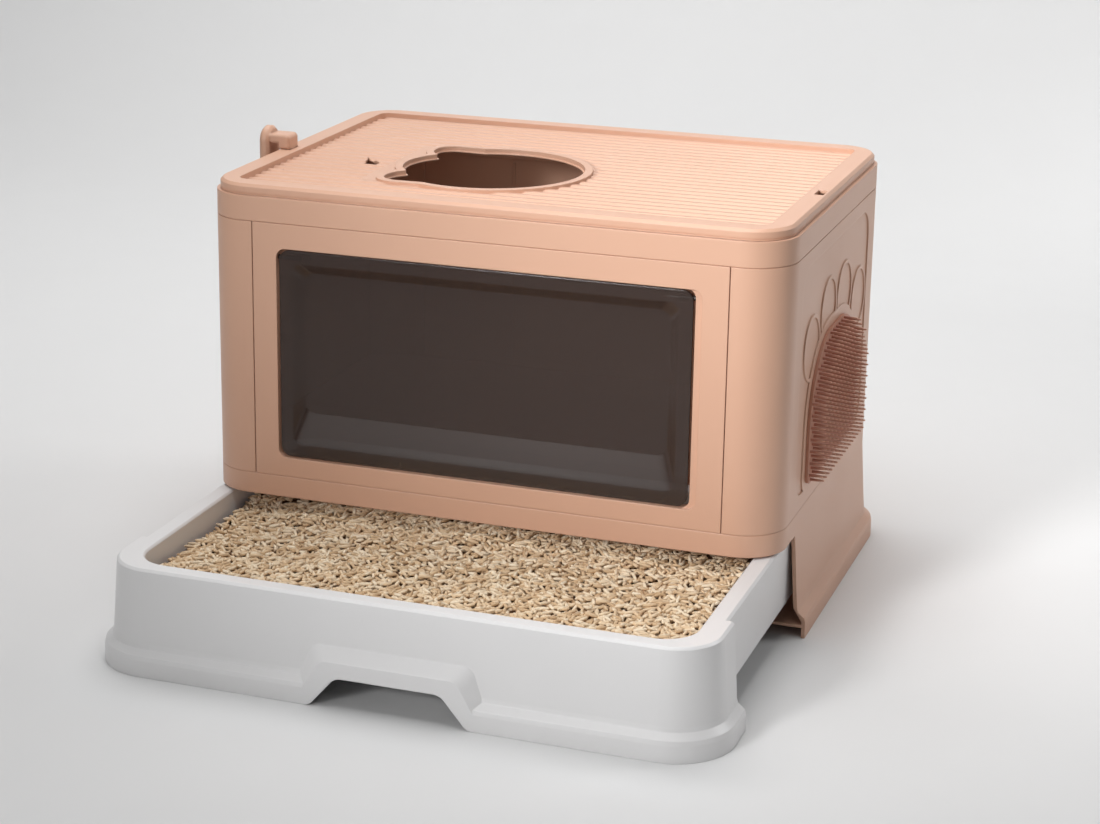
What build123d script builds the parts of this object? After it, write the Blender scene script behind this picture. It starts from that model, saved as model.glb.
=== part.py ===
from build123d import *
from math import atan, degrees, tan, radians
import os

# Enclosed litter box with a pull-out tray, a swinging front door and a ribbed lid with a way out on top.
# Millimetres, +Z up, the front faces -Y. The origin is on the floor under the middle of the body.

os.makedirs("parts", exist_ok=True)

# Body
body_width = 506
body_depth = 368
body_height = 362
corner_radius = 38
wall = 3.2
seam_gap = 0.8
seam_chamfer = 0.8
fit_gap = 0.3
cut_overrun = 5

# Heights of the seams
foot_height = 14
flare_height = 26
band_low = 90
base_top = 109
lid_height = 31

# Lean of the lower walls and the foot that flares out of them in a soft S, as shares of height and reach
lean = 4.5
flare = 7.5
flare_shares = [(0, 1), (0.3, 0.88), (0.7, 0.12), (1, 0)]
plain_flare_shares = [(0, 1), (1, 0)]

# Base
floor_low = 9
floor_thickness = 2.5
floor_rib_pitch = 90
side_front_setback = 68
lip_root = 12
lip_rise = 8
lip_thickness = 2

# Panels
seam_inset = 46
tongue_width = 12
tongue_thickness = 2
tongue_margin = 12
back_rib_place = 103
back_rib_width = 2.4
back_rib_height = 1.2

# Recessed field on each side, with the raised outlines of four toes in the right one
field_width = 252
field_margin = 13
field_radius = 25
field_depth = 1.2
toe_radius = 28.5
toe_line = 3.2
toe_shift = 6
outer_toe_place = 89
outer_toe_rise = 121
inner_toe_place = 30
inner_toe_rise = 140

# Brush pad on the right side
pad_width = 180
pad_height = 120
pad_rise = 3
pad_top_radius = 72
pad_bottom_radius = 10
pad_thickness = 2.5
pad_surround = 9
peg_radius = 3
peg_gap = 0.1
peg_place = 50
peg_reach = 2
bristle_step = 5.35
bristle_radius = 1.2
bristle_sides = 3
bristle_length = 12
bristle_margin = 3

# Doorway and door
opening_side_margin = 22
opening_low_margin = 16.5
opening_high_margin = 21.2
opening_radius = 8
opening_lip_depth = 12
opening_lip_thickness = 2.4
jamb_step = 6
jamb_step_depth = 3
door_side_gap = 1.8
door_low_gap = 1.5
door_high_gap = 1.3
door_setback = 2
door_thickness = 2.4
door_radius = 9
door_rim = 11
dish_depth = 7
dish_run = 9
dish_low_run = 28
barrel_radius = 3.8
barrel_length = 24
barrel_inset = 2
barrel_drop = 7
barrel_setback = 1.6
pin_radius = 2
pin_gap = 0.08
pin_length = 26
bearing_radius = 5.6
bearing_length = 6

# Tray
tray_pull = 195
tray_top = 88
tray_back_gap = 2.7
tray_wall = 2.5
apron_wall = 3
apron_gap = 0.5
rim_thickness = 3
basin_side_gap = 5
basin_skirt_low = 30
basin_radius = 22
tray_edge = 2
basin_edge = 1.5
rim_side_width = 16
rim_front_width = 15.5
basin_low = 13.5
basin_draft = 5
runner_place = 150
runner_width = 8
grip_half_width = 44
grip_foot_half_width = 66
grip_height = 26
grip_lip = 13
grip_flare = 11
grip_top_radius = 12
grip_foot_radius = 10
grip_foot_run = 16

# Litter
litter_top = 72
litter_gap = 0.6
heap_pitch = 37
heap_width = 34
heap_top_width = 10
heap_height = 3.5
heap_columns = 11
heap_rows = 7

# Lid
ledge_drop = 9.5
ledge = 3
rim_width = 19
rim_edge = 2.4
recess_radius = 9
recess_depth = 4.5
lid_floor_thickness = 3
lid_wall = 3
groove_pitch = 13
groove_top_width = 8.5
groove_bottom_width = 4
groove_depth = 1.8
groove_stop = 141
notch_length = 3.2
notch_reach_share = 0.8
head_radius = 83
head_x = -51
head_y = -30
bulge_share = 0.93
ear_shares = [(-0.39, 0.92), (-0.69, 0.93), (-0.825, 0.873), (-0.88, 0.75), (-0.855, 0.578), (-0.765, 0.446)]
hole_rim_width = 7
hole_rim_rise = 2
hole_lip = 1.5
hole_lip_height = 1
slot_x = 242
slot_y = -28
slot_width = 8
slot_length = 18
wedge_x = -170
wedge_y = -46.5
wedge_width = 19
wedge_length = 26
wedge_shares = [(0.37, 0), (1, 0), (0.86, 0.46), (0, 1)]
dash_x = -214.5
dash_y = -94
dash_width = 7
dash_length = 7

# Scoop
scoop_gap = 5
handle_width = 26
handle_thickness = 9.5
handle_rise = 19
handle_edge = 2.5
basket_width = 112
basket_length = 122
basket_depth = 30
basket_low = 98
basket_wall = 2.6
basket_radius = 14
basket_slots = 8
basket_slot_width = 6
basket_slot_share = 0.62
hook_width = 20
hook_neck = 11
hook_low_gap = 5
hook_height = 8
hook_round = 4
hook_edge = 1.5
hook_tip_width = 14
hook_tip_thickness = 6
hook_drop = 9

# Worked out from the sizes above
half_width = body_width / 2
half_depth = body_depth / 2
front = -half_depth
foot_spread = lean + flare
panel_top = body_height - lid_height
lean_angle = degrees(atan(lean / (band_low - flare_height)))
floor_top = floor_low + floor_thickness
floor_spread = 2 * foot_spread - wall
side_front = front + side_front_setback
panel_height = panel_top - base_top
panel_middle = (panel_top + base_top) / 2
seam_half_width = half_width - seam_inset
field_low = base_top + field_margin
field_height = panel_height - 2 * field_margin
pad_low = field_low + pad_rise
pad_middle = pad_low + pad_height / 2
lip_inset = wall + fit_gap
lip_inner_inset = lip_inset + lip_thickness
tray_back = half_depth - wall - tray_back_gap
apron_back = side_front - apron_gap
basin_half_width = half_width - basin_side_gap
tray_corner_radius = corner_radius - basin_side_gap
recess_floor = body_height - recess_depth
ledge_height = body_height - ledge_drop
recess_inset = ledge + rim_width


def rounded_prism(low, high, inset, middle_y=0):
    """A block with the body's rounded outline, moved in by an inset."""
    with BuildPart() as block:
        with BuildSketch(Plane((0, middle_y, low))):
            RectangleRounded(body_width - 2 * inset, body_depth - 2 * inset, corner_radius - inset)
        extrude(amount=high - low)
    return block.part


def skirt(inset, middle_y, top, shares):
    """The leaning walls over a flared foot, up to a height, as one block."""
    foot_out = foot_spread - inset
    crease_out = lean - inset
    with BuildPart() as block:
        with BuildSketch(Plane((0, middle_y, 0))):
            RectangleRounded(body_width + 2 * foot_out, body_depth + 2 * foot_out, corner_radius + foot_out)
        extrude(amount=foot_height)
        for (low_share, out_share), (high_share, in_share) in zip(shares, shares[1:]):
            rise = (flare_height - foot_height) * (high_share - low_share)
            draw_in = flare * (out_share - in_share)
            reach = crease_out + flare * out_share
            low = foot_height + (flare_height - foot_height) * low_share
            with BuildSketch(Plane((0, middle_y, low))):
                RectangleRounded(body_width + 2 * reach, body_depth + 2 * reach, corner_radius + reach)
            extrude(amount=rise, taper=degrees(atan(draw_in / rise)))
        with BuildSketch(Plane((0, middle_y, flare_height))):
            RectangleRounded(body_width + 2 * crease_out, body_depth + 2 * crease_out,
                             corner_radius + crease_out)
        extrude(amount=min(top, band_low) - flare_height, taper=lean_angle)
        if top > band_low:
            add(rounded_prism(band_low, top, inset, middle_y))
    return block.part


# Base frame: walls with a flared foot, a floor for the tray and a band across the front
base_outer = skirt(0, 0, base_top, flare_shares)
base_inner = skirt(wall, 0, base_top, plain_flare_shares)
front_cut_depth = side_front_setback + foot_spread + cut_overrun
front_cut_middle = side_front - front_cut_depth / 2
front_cut_width = body_width + 2 * (foot_spread + cut_overrun)
with BuildPart() as base_frame:
    add(base_outer)
    add(base_inner, mode=Mode.SUBTRACT)
    base_rim = base_frame.faces().sort_by(Axis.Z)[-1]
    chamfer(base_rim.outer_wire().edges(), seam_chamfer)
    with BuildSketch(Plane.XY.offset(floor_low)):
        RectangleRounded(body_width + floor_spread, body_depth + floor_spread,
                         corner_radius + floor_spread / 2)
    extrude(amount=floor_thickness)
    with BuildSketch(Plane.XY):
        with GridLocations(0, floor_rib_pitch, 1, 3):
            Rectangle(body_width + floor_spread, wall)
    extrude(amount=floor_low)
    with BuildSketch(Plane.XY):
        with Locations((0, front_cut_middle)):
            Rectangle(front_cut_width, front_cut_depth)
    extrude(amount=band_low, mode=Mode.SUBTRACT)
    with BuildSketch(Plane.XY.offset(base_top - lip_root)):
        RectangleRounded(body_width - wall, body_depth - wall, corner_radius - wall / 2)
        RectangleRounded(body_width - 2 * lip_inner_inset, body_depth - 2 * lip_inner_inset,
                         corner_radius - lip_inner_inset, mode=Mode.SUBTRACT)
    extrude(amount=lip_root)
    with BuildSketch(Plane.XY.offset(base_top)):
        RectangleRounded(body_width - 2 * lip_inset, body_depth - 2 * lip_inset, corner_radius - lip_inset)
        RectangleRounded(body_width - 2 * lip_inner_inset, body_depth - 2 * lip_inner_inset,
                         corner_radius - lip_inner_inset, mode=Mode.SUBTRACT)
    extrude(amount=lip_rise)


# Side panels: bent round the corners, with tongues that lie behind the front and back panels
def pad_outline(margin):
    """The brush pad's arched outline as it lies on the right side, grown by a margin."""
    with BuildSketch() as outline:
        with Locations((0, pad_middle)):
            Rectangle(pad_width + 2 * margin, pad_height + 2 * margin)
        fillet(outline.vertices().group_by(Axis.Y)[-1], pad_top_radius + margin)
        fillet(outline.vertices().group_by(Axis.Y)[0], pad_bottom_radius + margin)
    return outline.sketch


pad_outer = pad_outline(pad_surround)
toe_places = [
    (toe_shift - outer_toe_place, field_low + outer_toe_rise),
    (toe_shift - inner_toe_place, field_low + inner_toe_rise),
    (toe_shift + inner_toe_place, field_low + inner_toe_rise),
    (toe_shift + outer_toe_place, field_low + outer_toe_rise),
]


def side_shell(side):
    """A side panel with its seams, tongues and recessed field, for the left (-1) or right (1) side."""
    kept = half_width - seam_half_width - seam_gap / 2
    tongue_reach = tongue_width + corner_radius
    tongue_middle = side * (seam_half_width - tongue_width + tongue_reach / 2)
    with BuildPart() as shell:
        with BuildSketch(Plane.XY.offset(base_top)):
            RectangleRounded(body_width, body_depth, corner_radius)
            RectangleRounded(body_width - 2 * wall, body_depth - 2 * wall, corner_radius - wall,
                             mode=Mode.SUBTRACT)
            with Locations((side * (half_width - kept / 2), 0)):
                Rectangle(kept, body_depth, mode=Mode.INTERSECT)
        extrude(amount=panel_height)
        with BuildSketch(Plane.XY.offset(base_top + tongue_margin)):
            RectangleRounded(body_width - 2 * wall, body_depth - 2 * wall, corner_radius - wall)
            inner = wall + tongue_thickness
            RectangleRounded(body_width - 2 * inner, body_depth - 2 * inner, corner_radius - inner,
                             mode=Mode.SUBTRACT)
            with Locations((tongue_middle, 0)):
                Rectangle(tongue_reach, body_depth, mode=Mode.INTERSECT)
            with Locations((side * half_width, 0)):
                Rectangle(2 * corner_radius, body_depth - 2 * corner_radius, mode=Mode.SUBTRACT)
        extrude(amount=panel_height - 2 * tongue_margin)
        with BuildSketch(Plane.YZ.offset(side * half_width)):
            with Locations((0, field_low + field_height / 2)):
                RectangleRounded(field_width, field_height, field_radius)
            if side > 0:
                with Locations(*toe_places):
                    Circle(toe_radius, mode=Mode.SUBTRACT)
                    Circle(toe_radius - toe_line)
                add(pad_outer, mode=Mode.SUBTRACT)
        extrude(amount=-side * field_depth, mode=Mode.SUBTRACT)
    return shell.part


left_shell = side_shell(-1)
right_shell = side_shell(1)

with BuildPart() as left_side_panel:
    add(left_shell)

with BuildPart() as right_side_panel:
    add(right_shell)
    with BuildSketch(Plane.YZ.offset(half_width)):
        with Locations((-peg_place, pad_middle), (peg_place, pad_middle)):
            Circle(peg_radius + peg_gap)
    extrude(amount=-(wall + cut_overrun), mode=Mode.SUBTRACT)


# Front panel: a plate with the doorway, a lip, a stepped jamb and a bearing at each end of the door's axis
panel_width = 2 * seam_half_width - seam_gap
opening_half = seam_half_width - opening_side_margin
opening_width = 2 * opening_half
opening_low = base_top + opening_low_margin
opening_high = panel_top - opening_high_margin
opening_height = opening_high - opening_low
opening_middle = (opening_high + opening_low) / 2
door_shift = -jamb_step / 2
door_width = opening_width - jamb_step - 2 * door_side_gap
door_low = opening_low + door_low_gap
door_height = opening_height - door_low_gap - door_high_gap
axis_y = front + door_setback + door_thickness + barrel_setback
axis_z = door_low + door_height - barrel_drop
with BuildPart() as front_panel:
    with BuildSketch(Plane.XZ.offset(half_depth)):
        with Locations((0, panel_middle)):
            Rectangle(panel_width, panel_height)
    extrude(amount=-wall)
    with BuildSketch(Plane.XZ.offset(half_depth)):
        with Locations((0, opening_middle)):
            RectangleRounded(opening_width + 2 * opening_lip_thickness,
                             opening_height + 2 * opening_lip_thickness,
                             opening_radius + opening_lip_thickness)
    extrude(amount=-opening_lip_depth)
    for side in (-1, 1):
        with BuildSketch(Plane.YZ.offset(side * (opening_half + opening_lip_thickness / 2))):
            with Locations((axis_y, axis_z)):
                Circle(bearing_radius)
        extrude(amount=side * bearing_length)
    with BuildSketch(Plane.XZ.offset(half_depth + cut_overrun)):
        with Locations((door_shift, opening_middle)):
            RectangleRounded(opening_width - jamb_step, opening_height, opening_radius)
    extrude(amount=-(opening_lip_depth + 2 * cut_overrun), mode=Mode.SUBTRACT)
    with BuildSketch(Plane.XZ.offset(half_depth + cut_overrun)):
        with Locations((0, opening_middle)):
            RectangleRounded(opening_width, opening_height, opening_radius)
    extrude(amount=-(jamb_step_depth + cut_overrun), mode=Mode.SUBTRACT)
    for side in (-1, 1):
        with BuildSketch(Plane.YZ.offset(side * (opening_half - jamb_step - cut_overrun))):
            with Locations((axis_y, axis_z)):
                Circle(pin_radius + pin_gap)
        extrude(amount=side * (jamb_step + bearing_length + 2 * cut_overrun), mode=Mode.SUBTRACT)

# Back panel: a plain plate with two upright ribs inside
with BuildPart() as back_panel:
    with BuildSketch(Plane.XZ.offset(-half_depth)):
        with Locations((0, panel_middle)):
            Rectangle(panel_width, panel_height)
    extrude(amount=wall)
    with BuildSketch(Plane.XZ.offset(-half_depth + wall)):
        with Locations((-back_rib_place, panel_middle), (back_rib_place, panel_middle)):
            Rectangle(back_rib_width, panel_height - 2 * tongue_margin)
    extrude(amount=back_rib_height)


# Door: a see-through flap, dished inwards, with a barrel at each upper end for its pins
door_middle = door_low + door_height / 2
dish_angle = degrees(atan(dish_run / dish_depth))
dish_back_rim = door_rim - door_thickness * tan(radians(dish_angle / 2))
door_half = door_width / 2
pin_outer = opening_half + bearing_length


def dish(setback, rim):
    """The door's dish from its mouth inwards, with a longer slope at the foot than on the other sides."""
    mouth_plane = Plane.XZ.offset(half_depth - setback)
    floor_plane = Plane.XZ.offset(half_depth - setback - dish_depth)
    run_height = dish_run + dish_low_run
    with BuildPart() as block:
        with BuildSketch(mouth_plane):
            with Locations((door_shift, door_middle)):
                RectangleRounded(door_width - 2 * rim, door_height - 2 * rim, door_radius)
        with BuildSketch(floor_plane):
            with Locations((door_shift, door_middle + (dish_low_run - dish_run) / 2)):
                RectangleRounded(door_width - 2 * (rim + dish_run), door_height - 2 * rim - run_height,
                                 door_radius)
        loft(ruled=True)
    return block.part


dish_back = dish(door_setback + door_thickness, dish_back_rim)
dish_front = dish(door_setback, door_rim)
with BuildPart() as entry_door:
    with BuildSketch(Plane.XZ.offset(half_depth - door_setback)):
        with Locations((door_shift, door_middle)):
            RectangleRounded(door_width, door_height, door_radius)
    extrude(amount=-door_thickness)
    add(dish_back)
    for side in (-1, 1):
        with BuildSketch(Plane.YZ.offset(door_shift + side * (door_half - barrel_inset))):
            with Locations((axis_y, axis_z)):
                Circle(barrel_radius)
        extrude(amount=-side * barrel_length)
    add(dish_front, mode=Mode.SUBTRACT)
    for side in (-1, 1):
        with BuildSketch(Plane.YZ.offset(side * pin_outer)):
            with Locations((axis_y, axis_z)):
                Circle(pin_radius)
        extrude(amount=-side * pin_length, mode=Mode.SUBTRACT)

with BuildPart() as door_pins:
    for side in (-1, 1):
        with BuildSketch(Plane.YZ.offset(side * pin_outer)):
            with Locations((axis_y, axis_z)):
                Circle(pin_radius)
        extrude(amount=-side * pin_length)


# Tray: an apron with the base's own foot in front, a rim, and a basin that runs back over the base's floor
apron_outer = skirt(0, -tray_pull, tray_top, flare_shares)
apron_inner = skirt(apron_wall, -tray_pull, tray_top - rim_thickness, plain_flare_shares)
behind_depth = body_depth
basin_front = front + rim_front_width
basin_back = tray_back - rim_side_width
basin_inner_half = basin_half_width - rim_side_width
basin_middle = (basin_front + basin_back) / 2
basin_depth = basin_back - basin_front
shoulder_front = apron_back - tray_corner_radius
grip_face = half_depth + foot_spread


def tray_plane(height):
    return Plane((0, -tray_pull, height))


def basin(low, high, inset):
    """The drafted inside of the basin between two heights, moved in by an inset."""
    narrow = inset + (tray_top - low) * tan(radians(basin_draft))
    with BuildPart() as block:
        with BuildSketch(tray_plane(low)):
            with Locations((0, basin_middle)):
                RectangleRounded(2 * (basin_inner_half - narrow), basin_depth - 2 * narrow, basin_radius)
        extrude(amount=high - low, taper=-basin_draft)
    return block.part


def tray_block(low, high, inset):
    """The back of the tray's outline, which slides between the base's walls."""
    with BuildPart() as block:
        with BuildSketch(tray_plane(low)):
            with Locations((0, (shoulder_front + tray_back) / 2)):
                RectangleRounded(2 * (basin_half_width - inset), tray_back - shoulder_front - 2 * inset,
                                 tray_corner_radius - inset)
        extrude(amount=high - low)
    return block.part


def grip_outline(grow):
    """The finger grip's rounded outline, grown evenly, running out along the floor and down past it."""
    top_half = grip_half_width + grow
    foot_half = grip_foot_half_width + grow
    run_half = foot_half + grip_foot_run
    with BuildSketch() as outline:
        with BuildLine():
            Polyline((-run_half, -cut_overrun), (-run_half, 0), (-foot_half, 0),
                     (-top_half, grip_height + grow), (top_half, grip_height + grow),
                     (foot_half, 0), (run_half, 0), (run_half, -cut_overrun), close=True)
        make_face()
        fillet(outline.vertices().group_by(Axis.Y)[-1], grip_top_radius)
        foot_corners = outline.vertices().group_by(Axis.Y)[1].sort_by(Axis.X)[1:-1]
        fillet(foot_corners, grip_foot_radius)
    return outline.sketch


apron_behind = apron_back + behind_depth / 2
hollow_behind = apron_back - apron_wall + behind_depth / 2
apron_cut_width = body_width + 2 * (foot_spread + cut_overrun)
with BuildPart() as apron:
    add(apron_outer)
    apron_top = apron.faces().sort_by(Axis.Z)[-1]
    chamfer(apron_top.outer_wire().edges(), tray_edge)
    with BuildSketch(tray_plane(-cut_overrun)):
        with Locations((0, apron_behind)):
            Rectangle(apron_cut_width, behind_depth)
    extrude(amount=tray_top + 2 * cut_overrun, mode=Mode.SUBTRACT)

with BuildPart() as apron_hollow:
    add(apron_inner)
    with BuildSketch(tray_plane(-cut_overrun)):
        with Locations((0, hollow_behind)):
            Rectangle(apron_cut_width, behind_depth)
    extrude(amount=tray_top + 2 * cut_overrun, mode=Mode.SUBTRACT)

with BuildPart() as tray_sides:
    add(tray_block(basin_skirt_low, tray_top, 0))
    sides_top = tray_sides.faces().sort_by(Axis.Z)[-1]
    chamfer(sides_top.outer_wire().edges(), tray_edge)
tray_sides_hollow = tray_block(0, tray_top - rim_thickness, tray_wall)
basin_shell = basin(basin_low, tray_top - rim_thickness / 2, -tray_wall)
basin_inside = basin(basin_low + tray_wall, tray_top + cut_overrun, 0)
grip_crease = grip_outline(grip_lip + grip_flare)
grip_band = grip_outline(grip_lip)
grip_hole = grip_outline(0)
grip_root_plane = Plane.XZ.offset(half_depth + lean / 2 + tray_pull)
grip_face_plane = Plane.XZ.offset(grip_face + tray_pull)
grip_cut_plane = Plane.XZ.offset(grip_face + cut_overrun + tray_pull)
with BuildPart() as grip_boss:
    with BuildSketch(grip_root_plane):
        add(grip_crease)
    with BuildSketch(grip_face_plane):
        add(grip_band)
    loft(ruled=True)

with BuildPart() as tray:
    add(apron.part)
    add(tray_sides.part)
    add(apron_hollow.part, mode=Mode.SUBTRACT)
    add(tray_sides_hollow, mode=Mode.SUBTRACT)
    add(grip_boss.part)
    add(basin_shell)
    add(basin_inside, mode=Mode.SUBTRACT)
    bowl_rim = tray.faces().filter_by(Plane.XY).group_by(Axis.Z)[-1].sort_by(SortBy.AREA)[-1]
    chamfer(bowl_rim.inner_wires()[0].edges(), basin_edge)
    with BuildSketch(grip_cut_plane):
        add(grip_hole)
    extrude(amount=-(foot_spread + apron_wall + 2 * cut_overrun), mode=Mode.SUBTRACT)
    with BuildSketch(tray_plane(0)):
        with Locations((0, front)):
            Rectangle(apron_cut_width, body_depth)
    extrude(amount=-2 * cut_overrun, mode=Mode.SUBTRACT)
    with BuildSketch(tray_plane(floor_top)):
        with Locations((-runner_place, basin_middle), (runner_place, basin_middle)):
            Rectangle(runner_width, basin_depth - 2 * basin_radius)
    extrude(amount=basin_low - floor_top)

# Litter: the loose filling in low heaps, with its top a little under the tray's rim
litter_fill = basin(basin_low + tray_wall, litter_top, litter_gap)
heap_inset = (heap_width - heap_top_width) / 2
heap_far = heap_width - heap_inset
with BuildPart() as litter:
    add(litter_fill)
    with Locations((0, basin_middle - tray_pull, litter_top + heap_height / 2)):
        with GridLocations(heap_pitch, heap_pitch, heap_columns, heap_rows):
            Wedge(heap_width, heap_height, heap_width, heap_inset, heap_inset, heap_far, heap_far,
                  rotation=(90, 0, 0))


# Lid: a skirt flush with the panels, a ledge, a flat rim and a ribbed floor with a cat-head way out
def head_outline(margin):
    """The outline of the way out: a round head with two ears to the left, grown by a margin."""
    ears = [(x * head_radius, y * head_radius) for x, y in ear_shares]
    with BuildSketch() as outline:
        with BuildLine():
            ThreePointArc((head_radius, 0), (0, head_radius), ears[0])
            Line(ears[0], ears[1])
            ThreePointArc(ears[1], ears[2], ears[3])
            ThreePointArc(ears[3], ears[4], ears[5])
            ThreePointArc(ears[5], (-bulge_share * head_radius, 0), (ears[5][0], -ears[5][1]))
            ThreePointArc((ears[3][0], -ears[3][1]), (ears[4][0], -ears[4][1]), (ears[5][0], -ears[5][1]))
            ThreePointArc((ears[1][0], -ears[1][1]), (ears[2][0], -ears[2][1]), (ears[3][0], -ears[3][1]))
            Line((ears[1][0], -ears[1][1]), (ears[0][0], -ears[0][1]))
            ThreePointArc((ears[0][0], -ears[0][1]), (0, -head_radius), (head_radius, 0))
        make_face()
        if margin:
            offset(amount=margin)
    return outline.sketch


lid_under = recess_floor - lid_floor_thickness
channel_inset = ledge + lid_wall
channel_inner_inset = recess_inset - lid_wall
head_rim = head_outline(hole_rim_width)
head_hole = head_outline(0)
head_lip_hole = head_outline(-hole_lip)
zone_left = -groove_stop
zone_width = head_x - zone_left
zone_length = 2 * head_radius * ear_shares[1][1]
recess_width = body_width - 2 * recess_inset
recess_length = body_depth - 2 * recess_inset
groove_count = 1 + 2 * int((recess_length - groove_top_width) / 2 / groove_pitch)
groove_angle = degrees(atan(2 * groove_depth / (groove_top_width - groove_bottom_width)))
with BuildPart() as grooves:
    with BuildSketch(Plane.YZ.offset(-recess_width / 2)):
        with Locations((0, recess_floor - groove_depth / 2)):
            with GridLocations(groove_pitch, 0, groove_count, 1):
                Trapezoid(groove_top_width, groove_depth, groove_angle, rotation=180)
    extrude(amount=recess_width)
    with BuildSketch(Plane.XY.offset(recess_floor - groove_depth)):
        RectangleRounded(recess_width, recess_length, recess_radius)
        add(head_rim.moved(Location((head_x, head_y, 0))), mode=Mode.SUBTRACT)
        with Locations((zone_left + zone_width / 2, head_y)):
            Rectangle(zone_width, zone_length, mode=Mode.SUBTRACT)
    extrude(amount=groove_depth, mode=Mode.INTERSECT)

# A small drain notch at the end of each groove: by the left wall, left of the ears and right of the head
hole_reach = head_radius + hole_rim_width
groove_rows = [groove_pitch * (row - (groove_count - 1) / 2) for row in range(groove_count)]
notch_places = [((notch_length - recess_width) / 2, y) for y in groove_rows[1:-1]]
for y in groove_rows:
    near_side = max(0, abs(y - head_y) - groove_bottom_width / 2)
    if near_side < notch_reach_share * hole_reach:
        rim_x = head_x + (hole_reach ** 2 - near_side ** 2) ** 0.5
        notch_places.append((zone_left - notch_length / 2, y))
        notch_places.append((rim_x + fit_gap + notch_length / 2, y))

wedge_corners = [(x * wedge_width, y * wedge_length) for x, y in wedge_shares]
with BuildPart() as top_lid:
    add(rounded_prism(panel_top, ledge_height, 0))
    lid_bottom = top_lid.faces().sort_by(Axis.Z)[0]
    chamfer(lid_bottom.outer_wire().edges(), seam_chamfer)
    add(rounded_prism(ledge_height, body_height, ledge))
    lid_face = top_lid.faces().sort_by(Axis.Z)[-1]
    chamfer(lid_face.outer_wire().edges(), rim_edge)
    add(rounded_prism(panel_top - cut_overrun, lid_under, wall), mode=Mode.SUBTRACT)
    with BuildSketch(Plane.XY.offset(recess_floor)):
        RectangleRounded(recess_width, recess_length, recess_radius)
    extrude(amount=recess_depth, mode=Mode.SUBTRACT)
    with BuildSketch(Plane.XY.offset(lid_under)):
        RectangleRounded(body_width - 2 * channel_inset, body_depth - 2 * channel_inset,
                         corner_radius - channel_inset)
        RectangleRounded(body_width - 2 * channel_inner_inset, body_depth - 2 * channel_inner_inset,
                         recess_radius + lid_wall, mode=Mode.SUBTRACT)
    extrude(amount=body_height - lid_wall - lid_under, mode=Mode.SUBTRACT)
    with BuildSketch(Plane((head_x, head_y, lid_under))):
        add(head_rim)
    extrude(amount=recess_floor + hole_rim_rise - lid_under)
    with BuildSketch(Plane((head_x, head_y, lid_under + hole_lip_height))):
        add(head_hole)
    extrude(amount=body_height - lid_under, mode=Mode.SUBTRACT)
    with BuildSketch(Plane((head_x, head_y, lid_under - cut_overrun))):
        add(head_lip_hole)
    extrude(amount=hole_lip_height + 2 * cut_overrun, mode=Mode.SUBTRACT)
    add(grooves.part, mode=Mode.SUBTRACT)
    with BuildSketch(Plane.XY.offset(lid_under - cut_overrun)):
        with Locations(*notch_places):
            Rectangle(notch_length, groove_bottom_width)
    extrude(amount=lid_floor_thickness + cut_overrun, mode=Mode.SUBTRACT)
    with BuildSketch(Plane.XY.offset(body_height + cut_overrun)):
        with Locations((-slot_x, slot_y), (slot_x, slot_y)):
            Rectangle(slot_width, slot_length)
        with Locations((dash_x, dash_y)):
            Rectangle(dash_width, dash_length)
        with Locations((wedge_x, wedge_y)):
            Polygon(*wedge_corners, align=None)
    extrude(amount=-(body_height - lid_under + 2 * cut_overrun), mode=Mode.SUBTRACT)
    with BuildSketch(Plane.XY.offset(panel_top)):
        RectangleRounded(body_width - wall, body_depth - wall, corner_radius - wall / 2)
        RectangleRounded(body_width - 2 * lip_inner_inset, body_depth - 2 * lip_inner_inset,
                         corner_radius - lip_inner_inset, mode=Mode.SUBTRACT)
    extrude(amount=lip_root)
    with BuildSketch(Plane.XY.offset(panel_top - lip_rise)):
        RectangleRounded(body_width - 2 * lip_inset, body_depth - 2 * lip_inset, corner_radius - lip_inset)
        RectangleRounded(body_width - 2 * lip_inner_inset, body_depth - 2 * lip_inner_inset,
                         corner_radius - lip_inner_inset, mode=Mode.SUBTRACT)
    extrude(amount=lip_rise)


# Brush: an arched pad with rows of bristles, pegged to the right side
pad_back = pad_outline(0)
bristle_rows = int(pad_height / bristle_step)
bristle_columns = int(pad_width / bristle_step)
bristle_field = pad_outline(-bristle_margin).face()
bristle_places = []
for column in range(-bristle_columns, bristle_columns + 1):
    for row in range(-bristle_rows, bristle_rows + 1):
        place = (column * bristle_step, pad_middle + row * bristle_step, 0)
        if (column + row) % 2 == 0 and bristle_field.is_inside(place):
            bristle_places.append(place)
with BuildPart() as grooming_brush:
    with BuildSketch(Plane.YZ.offset(half_width)):
        add(pad_back)
    extrude(amount=pad_thickness)
    with BuildSketch(Plane.YZ.offset(half_width)):
        with Locations((-peg_place, pad_middle), (peg_place, pad_middle)):
            Circle(peg_radius)
    extrude(amount=-(wall + peg_reach))
    with BuildSketch(Plane.YZ.offset(half_width + pad_thickness)):
        with Locations(*bristle_places):
            RegularPolygon(bristle_radius, bristle_sides)
    extrude(amount=bristle_length)


# Scoop: hung outside the left side by a hook in the lid's slot
scoop_inner = -half_width - scoop_gap
basket_high = basket_low + basket_length
handle_low = basket_high - basket_wall
dome_middle = body_height + handle_rise - handle_width / 2
handle_middle = scoop_inner - handle_thickness / 2
hook_far = -slot_x + hook_tip_thickness / 2
hook_near = hook_far - hook_neck
arm_low = body_height + hook_low_gap
arm_high = arm_low + hook_height
with BuildPart() as handle:
    with BuildSketch(Plane.YZ.offset(scoop_inner)):
        with Locations((slot_y, (handle_low + dome_middle) / 2)):
            Rectangle(handle_width, dome_middle - handle_low)
        with Locations((slot_y, dome_middle)):
            Circle(handle_width / 2)
    extrude(amount=-handle_thickness)
    chamfer(handle.faces().filter_by(Axis.X).edges(), handle_edge)

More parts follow.
